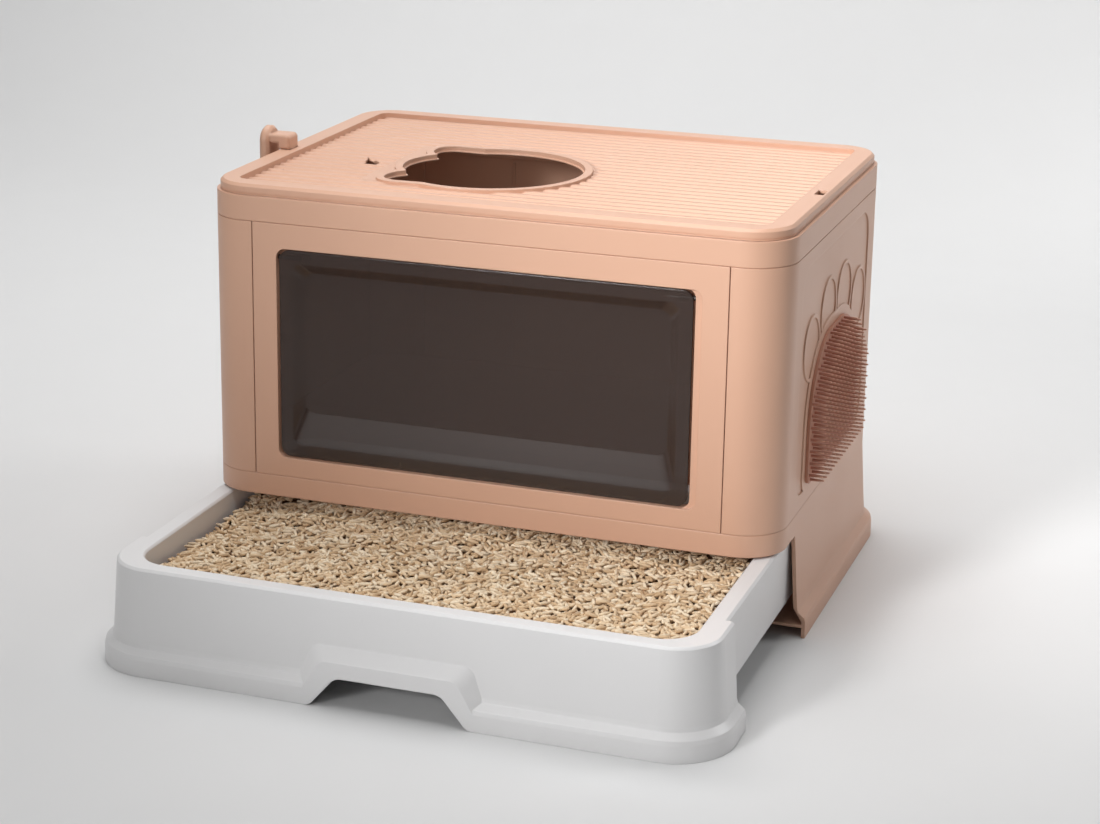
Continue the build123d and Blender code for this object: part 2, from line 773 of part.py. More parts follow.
with BuildPart() as hook:
    with BuildSketch(Plane.XZ.offset(-slot_y + hook_width / 2)):
        with BuildLine():
            Polyline((handle_middle, arm_low), (hook_near, arm_low), (hook_near, body_height),
                     (hook_far, body_height), (hook_far, arm_high), (handle_middle, arm_high), close=True)
        make_face()
    extrude(amount=-hook_width)
    hook_end = hook.edges().filter_by(Axis.Y).filter_by_position(Axis.X, hook_far, hook_far)
    fillet(hook_end.sort_by(Axis.Z)[-1], hook_round)
    chamfer(hook.faces().filter_by(Axis.Y).edges(), hook_edge)

with BuildPart() as scoop:
    with BuildSketch(Plane.YZ.offset(scoop_inner)):
        with Locations((slot_y, basket_low + basket_length / 2)):
            RectangleRounded(basket_width, basket_length, basket_radius)
    extrude(amount=-basket_depth)
    with BuildSketch(Plane.YZ.offset(scoop_inner - basket_wall)):
        with Locations((slot_y, basket_low + basket_length / 2 - basket_wall)):
            RectangleRounded(basket_width - 2 * basket_wall, basket_length, basket_radius - basket_wall)
    extrude(amount=-basket_depth, mode=Mode.SUBTRACT)
    with BuildSketch(Plane.YZ.offset(scoop_inner + cut_overrun)):
        with Locations((slot_y, basket_low + basket_length / 2)):
            with GridLocations((basket_width - 2 * basket_radius) / (basket_slots - 1), 0, basket_slots, 1):
                Rectangle(basket_slot_width, basket_length * basket_slot_share)
    extrude(amount=-(basket_wall + 2 * cut_overrun), mode=Mode.SUBTRACT)
    add(handle.part)
    add(hook.part)
    with BuildSketch(Plane.XZ.offset(-slot_y + hook_tip_width / 2)):
        with Locations((-slot_x, body_height - hook_drop / 2)):
            Rectangle(hook_tip_thickness, hook_drop)
    extrude(amount=-hook_tip_width)

# Files, one for each piece
pieces = {
    "base_frame": base_frame,
    "left_side_panel": left_side_panel,
    "right_side_panel": right_side_panel,
    "front_panel": front_panel,
    "back_panel": back_panel,
    "entry_door": entry_door,
    "door_pins": door_pins,
    "tray": tray,
    "litter": litter,
    "top_lid": top_lid,
    "grooming_brush": grooming_brush,
    "scoop": scoop,
}
for name, piece in pieces.items():
    piece.part.label = name
    export_step(piece.part, f"parts/{name}.step")
    box = piece.part.bounding_box()
    print(name, len(piece.part.solids()), "solids, from", box.min, "to", box.max)
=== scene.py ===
# %% [markdown]
# # A litter box, dressed in Blender
# The box itself is already built: twelve named pieces that come in as the fixed frame. This lesson gives
# them their plastics, fills the tray with wood pellets, sets soft bristles on the brush pad, and lights the
# whole on a pale floor. Everything is in metres, in the same frame as the solids, with the front towards -Y.

# %% Frame
import math

import bmesh
import bpy
from mathutils import Matrix, Vector


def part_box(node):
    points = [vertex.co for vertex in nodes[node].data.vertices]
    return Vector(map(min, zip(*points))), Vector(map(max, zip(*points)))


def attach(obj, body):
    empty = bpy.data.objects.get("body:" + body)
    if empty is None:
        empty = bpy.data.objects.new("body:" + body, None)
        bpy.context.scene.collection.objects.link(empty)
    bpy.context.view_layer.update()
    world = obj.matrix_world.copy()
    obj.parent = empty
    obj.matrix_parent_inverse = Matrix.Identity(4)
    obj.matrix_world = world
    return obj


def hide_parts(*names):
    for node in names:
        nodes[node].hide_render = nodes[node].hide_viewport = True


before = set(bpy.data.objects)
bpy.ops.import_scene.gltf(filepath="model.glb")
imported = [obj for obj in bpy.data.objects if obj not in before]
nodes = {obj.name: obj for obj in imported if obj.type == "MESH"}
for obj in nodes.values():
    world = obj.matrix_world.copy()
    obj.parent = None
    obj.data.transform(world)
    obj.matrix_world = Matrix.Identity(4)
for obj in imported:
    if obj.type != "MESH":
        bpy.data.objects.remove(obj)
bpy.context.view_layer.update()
MM = 0.001
print("solids:", sorted(nodes))

# %% [markdown]
# ## Camera
# The photograph looks down a little, from the front and the right, through a long lens. Three upright edges,
# the lid's rim and the tray's foot were enough to work out where that camera stood. Its picture is 1100 by
# 824, and the small shift moves the frame across the lens as cropping the picture does.

# %% Camera
PHOTO_WIDTH = 1100
CAMERA_PLACE = Vector((0.6798, -2.0307, 0.8086))
CAMERA_RIGHT = Vector((0.93756, 0.34771, 0.00860))
CAMERA_UP = Vector((-0.10538, 0.26039, 0.95974))
FOCAL_PIXELS = 2493.0
SENSOR_WIDTH = 36.0
FRAME_SHIFT = (0.0616, -0.0476)

camera_data = bpy.data.cameras.new("photo_camera")
camera = bpy.data.objects.new("photo_camera", camera_data)
bpy.context.scene.collection.objects.link(camera)
camera_back = CAMERA_RIGHT.cross(CAMERA_UP)
turn = Matrix((CAMERA_RIGHT, CAMERA_UP, camera_back)).transposed().to_4x4()
camera.matrix_world = Matrix.Translation(CAMERA_PLACE) @ turn
camera_data.sensor_fit = "HORIZONTAL"
camera_data.sensor_width = SENSOR_WIDTH
camera_data.lens = FOCAL_PIXELS / PHOTO_WIDTH * SENSOR_WIDTH
camera_data.shift_x, camera_data.shift_y = FRAME_SHIFT
bpy.context.scene.camera = camera
print("camera lens", round(camera_data.lens, 1), "mm")

# %% [markdown]
# ## Floor
# Studio paper lies flat under the object and runs up behind it in one bend, so no line shows where floor and
# wall meet. Two planes would leave that line. A profile drawn sideways does not: a flat run, a quarter circle
# in short steps, and an upright.

# %% Floor
FLOOR_HALF = 6.0
SWEEP_START = 1.2
SWEEP_RADIUS = 1.0
SWEEP_STEPS = 16
WALL_HEIGHT = 3.5

profile = [(-FLOOR_HALF, 0.0), (SWEEP_START, 0.0)]
for step in range(1, SWEEP_STEPS + 1):
    angle = math.pi / 2 * step / SWEEP_STEPS
    profile.append((SWEEP_START + SWEEP_RADIUS * math.sin(angle), SWEEP_RADIUS * (1 - math.cos(angle))))
profile.append((profile[-1][0], WALL_HEIGHT))
floor_mesh = bpy.data.meshes.new("floor")
floor_points = [(x, y, z) for y, z in profile for x in (-FLOOR_HALF, FLOOR_HALF)]
floor_faces = [(2 * row, 2 * row + 1, 2 * row + 3, 2 * row + 2) for row in range(len(profile) - 1)]
floor_mesh.from_pydata(floor_points, [], floor_faces)
floor_mesh.polygons.foreach_set("use_smooth", [True] * len(floor_faces))
floor = bpy.data.objects.new("floor", floor_mesh)
bpy.context.scene.collection.objects.link(floor)
print("floor of", len(floor_faces), "faces")

# %% [markdown]
# ## Light
# A soft box over the lid lights its top. Most of the light on the front comes from a spot at the front left,
# aimed at the upper right, so that its soft cone fades towards the lower left of the front panel and the
# tray. A large card in front is there for the door's lower slope to mirror. A box behind on the right keeps
# the brush readable, one over the paper keeps it pale, and a weak one inside stands for the light that comes
# through the way out. The world fills the shadows.

# %% Light
WORLD_STRENGTH = 0.1
WHITE = (1.0, 1.0, 1.0, 1.0)
CONE_BLEND = 1.0
LIGHTS = {
    "top_box": {"place": (0.05, -0.5, 1.7), "aim": (0.0, -0.1, 0.36), "size": 0.9, "watts": 10.0},
    "front_spot": {"place": (-0.6, -2.2, 1.15), "aim": (0.22, -0.2, 0.41), "size": 0.3, "watts": 265.0,
                   "cone": 26.0},
    "front_card": {"place": (-1.1, -3.2, 1.0), "aim": (0.0, -0.2, 0.25), "size": 1.6, "watts": 7.0},
    "right_box": {"place": (1.8, 0.9, 1.3), "aim": (0.25, 0.0, 0.3), "size": 0.8, "watts": 10.0},
    "paper_box": {"place": (-0.5, 0.8, 2.4), "aim": (-0.3, 2.1, 0.6), "size": 2.0, "watts": 46.0},
    "inside_box": {"place": (0.0, 0.0, 0.345), "aim": (0.0, 0.0, 0.1), "size": 0.3, "watts": 0.1},
}

for name, lamp in LIGHTS.items():
    light_data = bpy.data.lights.new(name, "SPOT" if "cone" in lamp else "AREA")
    light_data.energy = lamp["watts"]
    if "cone" in lamp:
        light_data.spot_size = math.radians(lamp["cone"])
        light_data.spot_blend = CONE_BLEND
        light_data.shadow_soft_size = lamp["size"]
    else:
        light_data.shape = "SQUARE"
        light_data.size = lamp["size"]
    light = bpy.data.objects.new(name, light_data)
    light.location = lamp["place"]
    looking = Vector(lamp["aim"]) - Vector(lamp["place"])
    light.rotation_euler = looking.to_track_quat("-Z", "Y").to_euler()
    light.visible_camera = False
    bpy.context.scene.collection.objects.link(light)

world = bpy.data.worlds.new("studio")
world.use_nodes = True
background = world.node_tree.nodes["Background"]
background.inputs["Color"].default_value = WHITE
background.inputs["Strength"].default_value = WORLD_STRENGTH
bpy.context.scene.world = world
bpy.context.scene.view_settings.view_transform = "Standard"
print("lights:", ", ".join(LIGHTS))

# %% [markdown]
# ## Writing node trees as sums
# A material is a small program. Wiring it node by node is slow to read, so one class wraps a socket: adding
# or multiplying two of them adds the Math node, and its `node` method makes any other node.

# %% Wire
MIX_FIRST, MIX_SECOND, MIX_RESULT = 6, 7, 2


class Wire:
    """A socket of a node tree that can be used in sums."""

    def __init__(self, tree, socket=None):
        self.tree = tree
        self.socket = socket

    def node(self, kind, settings=None, inputs=None, output=0):
        made = self.tree.nodes.new(kind)
        for name, value in (settings or {}).items():
            if name == "stops":
                ramp = made.color_ramp.elements
                while len(ramp) < len(value):
                    ramp.new(0.5)
                for element, (place, tint) in zip(ramp, value):
                    element.position = place
                    element.color = tint
            else:
                setattr(made, name, value)
        for key, value in (inputs or {}).items():
            if isinstance(value, Wire):
                self.tree.links.new(value.socket, made.inputs[key])
            else:
                made.inputs[key].default_value = value
        return Wire(self.tree, made.outputs[output] if made.outputs else None)

    def math(self, operation, *values):
        return self.node("ShaderNodeMath", {"operation": operation}, dict(enumerate(values)))

    def __add__(self, other):
        return self.math("ADD", self, other)

    def __sub__(self, other):
        return self.math("SUBTRACT", self, other)

    def __mul__(self, other):
        return self.math("MULTIPLY", self, other)

    def __rmul__(self, other):
        return self.math("MULTIPLY", other, self)


def new_material(name):
    """An empty material, its shader and a wire to start from."""
    material = bpy.data.materials.new(name)
    material.use_nodes = True
    tree = material.node_tree
    return material, tree.nodes["Principled BSDF"], Wire(tree)


def object_noise(start, scale, detail):
    """Noise in the piece's own coordinates."""
    place = start.node("ShaderNodeTexCoord", output="Object")
    return start.node("ShaderNodeTexNoise", inputs={"Vector": place, "Scale": scale, "Detail": detail})


def mixed(start, share, first, second):
    """One colour fading into another."""
    return start.node("ShaderNodeMix", {"data_type": "RGBA"},
                      {"Factor": share, MIX_FIRST: first, MIX_SECOND: second}, output=MIX_RESULT)


def link(tree, wire, socket):
    tree.links.new(wire.socket, socket)


def colour(red, green, blue):
    """A screen colour from 0 to 255 as the linear values that shaders use."""
    def linear(value):
        share = value / 255
        return share / 12.92 if share <= 0.04045 else ((share + 0.055) / 1.055) ** 2.4
    return (linear(red), linear(green), linear(blue), 1.0)


print("wires ready")

# %% [markdown]
# ## Moulded plastic
# The shell is satin plastic: one colour right through, with a faint cloudiness from the melt and a fine grain
# that keeps highlights soft. Noise at two scales gives both. No moulded edge is sharp, so a Bevel node bends
# the normals round every edge before the grain. The same function makes the white tray, the scoop with its
# rounder edges and the dark pins by changing the colours and the gloss.

# %% Moulded plastic
GRAIN_SCALE = 900.0
GRAIN_DETAIL = 1.0
GRAIN_HEIGHT = 0.1 * MM
CLOUD_SCALE = 9.0
CLOUD_DETAIL = 2.0
CLOUD_GLOSS = 0.08
EDGE_RADIUS = 1.2 * MM
SCOOP_EDGE_RADIUS = 3 * MM
EDGE_SAMPLES = 6
MOULDED_SHINE = 0.5
SHELL_LIGHT = colour(212, 169, 144)
SHELL_DARK = colour(205, 161, 136)


def moulded_plastic(name, light_tone, dark_tone, roughness, grain, edge_radius=EDGE_RADIUS):
    """A plastic of two near tones, clouded in colour and gloss, grained and soft at its edges."""
    material, shader, start = new_material(name)
    cloud = object_noise(start, CLOUD_SCALE, CLOUD_DETAIL)
    fine = object_noise(start, GRAIN_SCALE, GRAIN_DETAIL)
    link(start.tree, mixed(start, cloud, light_tone, dark_tone), shader.inputs["Base Color"])
    link(start.tree, (cloud - 0.5) * CLOUD_GLOSS + roughness, shader.inputs["Roughness"])
    soft_edge = start.node("ShaderNodeBevel", {"samples": EDGE_SAMPLES}, {"Radius": edge_radius})
    bump = start.node("ShaderNodeBump", inputs={
        "Strength": grain, "Distance": GRAIN_HEIGHT, "Height": fine, "Normal": soft_edge})
    link(start.tree, bump, shader.inputs["Normal"])
    shader.inputs["Specular IOR Level"].default_value = MOULDED_SHINE
    return material


def wear(node_name, material):
    """Gives a solid one material all over."""
    mesh = nodes[node_name].data
    mesh.materials.clear()
    mesh.materials.append(material)


shell_plastic = moulded_plastic("shell_plastic", SHELL_LIGHT, SHELL_DARK, roughness=0.4, grain=0.2)
tray_plastic = moulded_plastic("tray_plastic", colour(232, 231, 231), colour(226, 225, 225),
                               roughness=0.32, grain=0.12)
scoop_plastic = moulded_plastic("scoop_plastic", SHELL_LIGHT, SHELL_DARK, roughness=0.4, grain=0.2,
                                edge_radius=SCOOP_EDGE_RADIUS)
pin_plastic = moulded_plastic("pin_plastic", colour(70, 58, 52), colour(60, 49, 44),
                              roughness=0.4, grain=0.1)
SHELL_PIECES = ("base_frame", "left_side_panel", "right_side_panel", "front_panel", "back_panel",
                "top_lid")
for piece in SHELL_PIECES:
    wear(piece, shell_plastic)
wear("scoop", scoop_plastic)
wear("tray", tray_plastic)
wear("door_pins", pin_plastic)
print("moulded pieces:", len(SHELL_PIECES) + 3)

# %% [markdown]
# ## Studio paper
# The paper is matt and pale grey, and the light over it brings it near white. It would hide the box from
# behind, so it is see-through on its back: Backfacing chooses between the paper and a clear shader.

# %% Studio paper
floor_paint = moulded_plastic("floor_paint", colour(226, 226, 226), colour(224, 224, 224),
                              roughness=0.9, grain=0.05)
floor.data.materials.append(floor_paint)
paper_tree = floor_paint.node_tree
paper_start = Wire(paper_tree)
paper_shader = Wire(paper_tree, paper_tree.nodes["Principled BSDF"].outputs[0])
from_behind = paper_start.node("ShaderNodeNewGeometry", output="Backfacing")
see_through = paper_start.node("ShaderNodeBsdfTransparent")
one_sided = paper_start.node("ShaderNodeMixShader", inputs={0: from_behind, 1: paper_shader, 2: see_through})
link(paper_tree, one_sided, paper_tree.nodes["Material Output"].inputs["Surface"])
print("paper ready")

# %% [markdown]
# ## Smoked door
# The flap is brown see-through plastic. Alpha lets a little of the inside show, and a clear coat gives the
# sharp lines of light along its dished edges.

# %% Smoked door
DOOR_ALPHA = 0.76
DOOR_LIGHT = colour(64, 52, 47)
DOOR_DARK = colour(57, 46, 42)
DOOR_CLOUD_SCALE = 6.0
DOOR_CLOUD_GLOSS = 0.06
DOOR_ROUGHNESS = 0.16
DOOR_EDGE_RADIUS = 2.0 * MM
DOOR_SHINE = 0.35
DOOR_COAT = 0.25
DOOR_COAT_ROUGHNESS = 0.08

smoked_plastic, door_shader, door_start = new_material("smoked_plastic")
door_cloud = object_noise(door_start, DOOR_CLOUD_SCALE, CLOUD_DETAIL)
link(door_start.tree, mixed(door_start, door_cloud, DOOR_LIGHT, DOOR_DARK), door_shader.inputs["Base Color"])
link(door_start.tree, door_cloud * DOOR_CLOUD_GLOSS + DOOR_ROUGHNESS, door_shader.inputs["Roughness"])
door_edge = door_start.node("ShaderNodeBevel", {"samples": EDGE_SAMPLES}, {"Radius": DOOR_EDGE_RADIUS})
link(door_start.tree, door_edge, door_shader.inputs["Normal"])
door_shader.inputs["Alpha"].default_value = DOOR_ALPHA
door_shader.inputs["Specular IOR Level"].default_value = DOOR_SHINE
door_shader.inputs["Coat Weight"].default_value = DOOR_COAT
door_shader.inputs["Coat Roughness"].default_value = DOOR_COAT_ROUGHNESS
wear("entry_door", smoked_plastic)
print("door alpha", DOOR_ALPHA)

# %% [markdown]
# ## Pressed wood
# A pellet is pressed sawdust: pale, dry and fibrous. A tone kept for each pellet makes some paler and some
# browner, and fine noise adds the fibre in colour and relief. The bed under the pellets has a dark brown
# material of its own, which is painted shade for the gaps between the pellets.

# %% Pressed wood
FIBRE_SCALE = 420.0
FIBRE_DETAIL = 3.0
FIBRE_HEIGHT = 0.2 * MM
FIBRE_STRENGTH = 0.3
TONE_SHARE = 0.75
FIBRE_SHARE = 0.2
TONE_START = 0.02
WOOD_ROUGHNESS = 0.75
WOOD_TONES = [(0.0, colour(186, 150, 110)), (0.4, colour(224, 197, 162)), (1.0, colour(246, 232, 208))]
# Dark browns of the bed: painted shade for the gaps between the pellets.
GAP_SHADE_PALE = colour(120, 84, 54)
GAP_SHADE_DEEP = colour(84, 56, 34)
GAP_SHADE_SCALE = 260.0
GAP_SHADE_DETAIL = 3.0
GAP_SHADE_ROUGHNESS = 0.9

wood, wood_shader, wood_start = new_material("pressed_wood")
tone = wood_start.node("ShaderNodeAttribute", {"attribute_name": "tone"}, output="Fac")
fibre = object_noise(wood_start, FIBRE_SCALE, FIBRE_DETAIL)
paint = wood_start.node("ShaderNodeValToRGB", {"stops": WOOD_TONES},
                        {"Fac": tone * TONE_SHARE + fibre * FIBRE_SHARE + TONE_START})
link(wood_start.tree, paint, wood_shader.inputs["Base Color"])
wood_bump = wood_start.node("ShaderNodeBump", inputs={
    "Strength": FIBRE_STRENGTH, "Distance": FIBRE_HEIGHT, "Height": fibre})
link(wood_start.tree, wood_bump, wood_shader.inputs["Normal"])
wood_shader.inputs["Roughness"].default_value = WOOD_ROUGHNESS

bed_painted_shade, gap_shade_shader, gap_shade_start = new_material("pellet_shadow")
gap_shade_cloud = object_noise(gap_shade_start, GAP_SHADE_SCALE, GAP_SHADE_DETAIL)
link(gap_shade_start.tree, mixed(gap_shade_start, gap_shade_cloud, GAP_SHADE_PALE, GAP_SHADE_DEEP), gap_shade_shader.inputs["Base Color"])
gap_shade_shader.inputs["Roughness"].default_value = GAP_SHADE_ROUGHNESS
print("pellet materials ready")

# %% [markdown]
# ## Pellet bed
# Loose litter never lies flat. A grid of points takes its height from a few long waves, a dip by the left
# wall and a slight rise to the back. The bed is closed down to the tray's floor, so that it fills the place
# of the plain filling, and the pellets are scattered over the same heights.

# %% Pellet bed
litter_low, litter_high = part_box("litter")
BED_LEVEL = 73.0 * MM
BED_WAVE = 2.2 * MM
WAVE_TURNS_X, WAVE_START_X = 46, 1.3
WAVE_TURNS_Y, WAVE_START_Y = 39, 0.4
SLANT_TURNS_X, SLANT_TURNS_Y = 33, 91
SLANT_SHARE = 0.5
BED_DIP = 7.0 * MM
BED_DIP_PLACE = (-0.22, -0.24)
BED_DIP_REACH = 70.0 * MM
BED_RISE = 3.0 * MM
BED_CELL = 9.0 * MM
FEWEST_CELLS = 2
BED_EDGE = 2.5 * MM
BED_FOOT_SHARE = 0.975
BED_FOOT_GAP = MM


def bed_height(x, y):
    """The heaped top of the bed: long waves, a dip by the left wall and a rise to the back."""
    wave = math.sin(WAVE_TURNS_X * x + WAVE_START_X) * math.cos(WAVE_TURNS_Y * y + WAVE_START_Y)
    wave += SLANT_SHARE * math.sin(SLANT_TURNS_Y * y - SLANT_TURNS_X * x)
    away = math.hypot(x - BED_DIP_PLACE[0], y - BED_DIP_PLACE[1]) / BED_DIP_REACH
    back_share = (y - litter_low.y) / (litter_high.y - litter_low.y)
    heap = BED_LEVEL + BED_WAVE * wave / (1 + SLANT_SHARE)
    return heap - BED_DIP * math.exp(-away * away) + BED_RISE * (back_share - 0.5)


def plain_piece(name, mesh):
    """A new object at the origin that holds a mesh."""
    made = bpy.data.objects.new(name, mesh)
    bpy.context.scene.collection.objects.link(made)
    return made


def bed_sheet(low_x, high_x, low_y, high_y):
    """Points and faces of the bed's top between four limits."""
    columns = max(FEWEST_CELLS, round((high_x - low_x) / BED_CELL))
    rows = max(FEWEST_CELLS, round((high_y - low_y) / BED_CELL))
    points = []
    for row in range(rows + 1):
        for column in range(columns + 1):
            x = low_x + (high_x - low_x) * column / columns
            y = low_y + (high_y - low_y) * row / rows
            points.append((x, y, bed_height(x, y)))
    wide = columns + 1
    faces = []
    for row in range(rows):
        for column in range(columns):
            corner = row * wide + column
            faces.append((corner, corner + 1, corner + wide + 1, corner + wide))
    return points, faces, columns, rows


bed_points, bed_faces, bed_columns, bed_rows = bed_sheet(
    litter_low.x + BED_EDGE, litter_high.x - BED_EDGE, litter_low.y + BED_EDGE, litter_high.y - BED_EDGE)
bed_wide = bed_columns + 1
border = list(range(bed_wide))
border += [row * bed_wide + bed_columns for row in range(1, bed_rows + 1)]
border += [bed_rows * bed_wide + column for column in range(bed_columns - 1, -1, -1)]
border += [row * bed_wide for row in range(bed_rows - 1, 0, -1)]
middle = (litter_low + litter_high) / 2
first_foot = len(bed_points)
for index in border:
    x, y, _ = bed_points[index]
    foot_x = middle.x + (x - middle.x) * BED_FOOT_SHARE
    foot_y = middle.y + (y - middle.y) * BED_FOOT_SHARE
    bed_points.append((foot_x, foot_y, litter_low.z + BED_FOOT_GAP))
for step in range(len(border)):
    after = (step + 1) % len(border)
    bed_faces.append((first_foot + step, first_foot + after, border[after], border[step]))
bed_faces.append(tuple(reversed(range(first_foot, len(bed_points)))))
bed_mesh = bpy.data.meshes.new("litter_bed")
bed_mesh.from_pydata(bed_points, [], bed_faces)
bed_mesh.polygons.foreach_set("use_smooth", [True] * len(bed_mesh.polygons))
bed = plain_piece("litter_bed", bed_mesh)
# The bed wears the painted shade that shows between the pellets.
bed.data.materials.append(bed_painted_shade)
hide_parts("litter")
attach(bed, "pull_out_tray")
print("bed of", len(bed_faces), "faces")

# %% [markdown]
# ## Growing pieces from a node tree
# The pellets and the bristles are both one small shape set on many places, which is what Geometry Nodes do
# best. Both trees begin alike, with a mesh, some named sizes and one result, and both results are kept as
# plain meshes, so two short functions serve them.


# %% Node trees
def size_tree(name, mesh_input, size_names, result):
    """A new Geometry Nodes tree, the identifiers of its sizes, and a wire from each of its inputs."""
    tree = bpy.data.node_groups.new(name, "GeometryNodeTree")
    tree.interface.new_socket(name=mesh_input, in_out="INPUT", socket_type="NodeSocketGeometry")
    sizes = {}
    for size in size_names:
        socket = tree.interface.new_socket(name=size, in_out="INPUT", socket_type="NodeSocketFloat")
        sizes[size] = socket.identifier
    tree.interface.new_socket(name=result, in_out="OUTPUT", socket_type="NodeSocketGeometry")
    given = tree.nodes.new("NodeGroupInput")
    value = {socket.name: Wire(tree, socket) for socket in given.outputs if socket.name}
    return tree, sizes, value


def grow(piece, tree, identifiers, sizes):
    """Runs a tree on a piece with the given sizes, and keeps the result as a plain mesh."""
    growing = piece.modifiers.new(tree.name, "NODES")
    growing.node_group = tree
    for name, size in sizes.items():
        growing[identifiers[name]] = size
    graph = bpy.context.evaluated_depsgraph_get()
    mesh = bpy.data.meshes.new_from_object(piece.evaluated_get(graph))
    piece.modifiers.clear()
    piece.data = mesh


print("growing ready")

# %% [markdown]
# ## Pellets
# Wood pellets lie in the tray in no order, so nothing but chance should place them. Geometry Nodes scatter
# points over the heaped bed, lift each by a chance share of the pile, set one blunt-ended grain on it, turn
# that any way round and tip it a little. The part under the box is seldom seen, so it has fewer pellets.

# %% Pellets
PELLET_RADIUS = 1.55 * MM
PELLET_LENGTH = 9.5 * MM
PELLET_SIDES = 6
PELLET_RINGS = 4
PELLET_BLUNTNESS = 0.42
PELLET_SMALLEST = (0.9, 0.9, 0.75)
PELLET_LARGEST = (1.1, 1.1, 1.2)
PELLET_SPACE = 2.3 * MM
PELLET_EDGE = 5.0 * MM
PELLET_PILE = 4.0 * MM
PELLET_TIP = math.radians(14)
FRONT_DENSITY = 150000.0
BACK_DENSITY = 60000.0
BED_SPLIT_BEHIND = 30 * MM
PLACE_SEED, LIFT_SEED, TURN_SEED, SIZE_SEED, TONE_SEED = 7, 11, 3, 5, 17


def chance(start, seed):
    """A number between 0 and 1 for each point or grain."""
    return start.node("FunctionNodeRandomValue", {"data_type": "FLOAT"},
                      {2: 0.0, 3: 1.0, "Seed": seed}, output=1)


def chance_vector(start, low, high, seed):
    """Three numbers for each grain, each between its own limits."""
    return start.node("FunctionNodeRandomValue", {"data_type": "FLOAT_VECTOR"},
                      {"Min": low, "Max": high, "Seed": seed})


def pellet_grain(start, value):
    """One pellet along Z: a ball drawn out to a stick with blunt ends."""
    ball = start.node("GeometryNodeMeshUVSphere", inputs={
        "Segments": PELLET_SIDES, "Rings": PELLET_RINGS, "Radius": 1.0})
    place = start.node("GeometryNodeInputPosition")
    across, along, upward = (start.node("ShaderNodeSeparateXYZ", inputs={0: place}, output=axis)
                             for axis in range(3))
    blunt = start.math("POWER", start.math("ABSOLUTE", upward), PELLET_BLUNTNESS)
    reach = blunt * start.math("SIGN", upward)
    grain_place = start.node("ShaderNodeCombineXYZ", inputs={
        "X": across * value["Radius"], "Y": along * value["Radius"], "Z": reach * value["Length"] * 0.5})
    grain = start.node("GeometryNodeSetPosition", inputs={"Geometry": ball, "Position": grain_place})
    return start.node("GeometryNodeSetShadeSmooth", inputs={0: grain})


def pellet_tree():
    """Scatters grains over the faces of a mesh."""
    tree, sizes, value = size_tree(
        "pellet_scatter", "Bed", ("Per square metre", "Space", "Radius", "Length", "Pile", "Tip"), "Pellets")
    start = Wire(tree)
    points = start.node("GeometryNodeDistributePointsOnFaces", {"distribute_method": "POISSON"},
                        {"Mesh": value["Bed"], "Distance Min": value["Space"],
                         "Density Max": value["Per square metre"], "Seed": PLACE_SEED})
    lift = start.node("ShaderNodeCombineXYZ", inputs={"Z": chance(start, LIFT_SEED) * value["Pile"]})
    points = start.node("GeometryNodeSetPosition", inputs={"Geometry": points, "Offset": lift})
    tip = value["Tip"]
    lying = math.pi / 2
    low = start.node("ShaderNodeCombineXYZ", inputs={
        "X": start.math("SUBTRACT", lying, tip), "Y": -1.0 * tip, "Z": 0.0})
    high = start.node("ShaderNodeCombineXYZ", inputs={
        "X": tip + lying, "Y": tip, "Z": 2 * math.pi})
    grains = start.node("GeometryNodeInstanceOnPoints", inputs={
        "Points": points, "Instance": pellet_grain(start, value),
        "Rotation": chance_vector(start, low, high, TURN_SEED),
        "Scale": chance_vector(start, PELLET_SMALLEST, PELLET_LARGEST, SIZE_SEED)})
    grains = start.node("GeometryNodeStoreNamedAttribute", {"domain": "INSTANCE", "data_type": "FLOAT"},
                        {"Geometry": grains, "Name": "tone", "Value": chance(start, TONE_SEED)})
    grains = start.node("GeometryNodeRealizeInstances", inputs={"Geometry": grains})
    grains = start.node("GeometryNodeSetMaterial", inputs={"Geometry": grains, "Material": wood})
    start.node("NodeGroupOutput", inputs={"Pellets": grains})
    return tree, sizes


scatter, scatter_inputs = pellet_tree()


def pellets(name, low_x, high_x, low_y, high_y, density):
    """One field of pellets over part of the bed."""
    points, faces, _, _ = bed_sheet(low_x, high_x, low_y, high_y)
    mesh = bpy.data.meshes.new(name)
    mesh.from_pydata(points, [], faces)
    field = plain_piece(name, mesh)
    grow(field, scatter, scatter_inputs, {
        "Per square metre": density, "Space": PELLET_SPACE, "Radius": PELLET_RADIUS,
        "Length": PELLET_LENGTH, "Pile": PELLET_PILE, "Tip": PELLET_TIP})
    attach(field, "pull_out_tray")
    print(name, len(field.data.polygons), "faces")


FRONT_FIELDS = ("pellets_left", "pellets_middle", "pellets_right")
bed_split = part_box("front_panel")[0].y + BED_SPLIT_BEHIND
left_x, right_x = litter_low.x + PELLET_EDGE, litter_high.x - PELLET_EDGE
front_y, back_y = litter_low.y + PELLET_EDGE, litter_high.y - PELLET_EDGE
field_width = (right_x - left_x) / len(FRONT_FIELDS)
for number, name in enumerate(FRONT_FIELDS):
    field_left = left_x + number * field_width
    pellets(name, field_left, field_left + field_width, front_y, bed_split, FRONT_DENSITY)
pellets("pellets_behind", left_x, right_x, bed_split, back_y, BACK_DENSITY)

# %% [markdown]
# ## Brush pad
# The pad is a thin rubber plate with an arched outline: wide arcs above, small ones below. Four quarter
# circles give that outline, and the same function with a margin later says where bristles may stand.

# %% Brush pad
pad_low, pad_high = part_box("grooming_brush")
PAD_WIDTH = 180 * MM
PAD_HEIGHT = 120 * MM
PAD_TOP_RADIUS = 72 * MM
PAD_BOTTOM_RADIUS = 10 * MM
PAD_THICKNESS = 2.5 * MM
BRISTLE_LENGTH = 12 * MM
SMALLEST_RADIUS = MM
ARC_STEPS = 16
pad_face = pad_high.x - BRISTLE_LENGTH

soft_rubber = moulded_plastic("soft_rubber", colour(196, 140, 116), colour(184, 128, 104),
                              roughness=0.55, grain=0.2)


